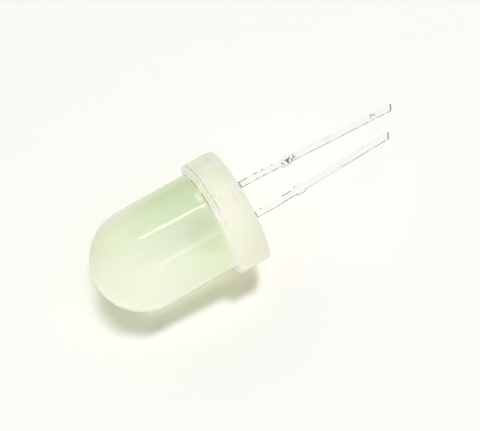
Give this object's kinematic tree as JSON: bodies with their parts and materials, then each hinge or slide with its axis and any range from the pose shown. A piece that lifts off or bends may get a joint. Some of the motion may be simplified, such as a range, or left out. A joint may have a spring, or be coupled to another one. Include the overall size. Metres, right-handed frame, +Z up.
{
  "type": "through hole led",
  "caption": "Round through-hole LED: a domed body of diffused pale green epoxy on a round flange, with slim square tinned leads, the anode the longer.",
  "frame": {"origin": "on the surface that the LED lies on, under the middle of its bounding box", "axes": "+X runs along the surface from the dome's side to the lead ends, +Z is up, +Y completes the right-handed set and is the anode's side"},
  "size_m": [0.0262, 0.0092, 0.0094],
  "materials": {
    "epoxy": "translucent, diffused, glossy",
    "tinned_metal": "bright tin over stamped steel",
    "chip": "sawn semiconductor crystal",
    "adhesive": "matt, silver filled",
    "gold": "bright drawn gold"
  },
  "bodies": {
    "root": {"epoxy_body": "epoxy", "cathode_lead": "tinned_metal", "anode_lead": "tinned_metal", "chip": "chip", "chip_adhesive": "adhesive", "bond_wire": "gold"}
  },
  "joints": []
}
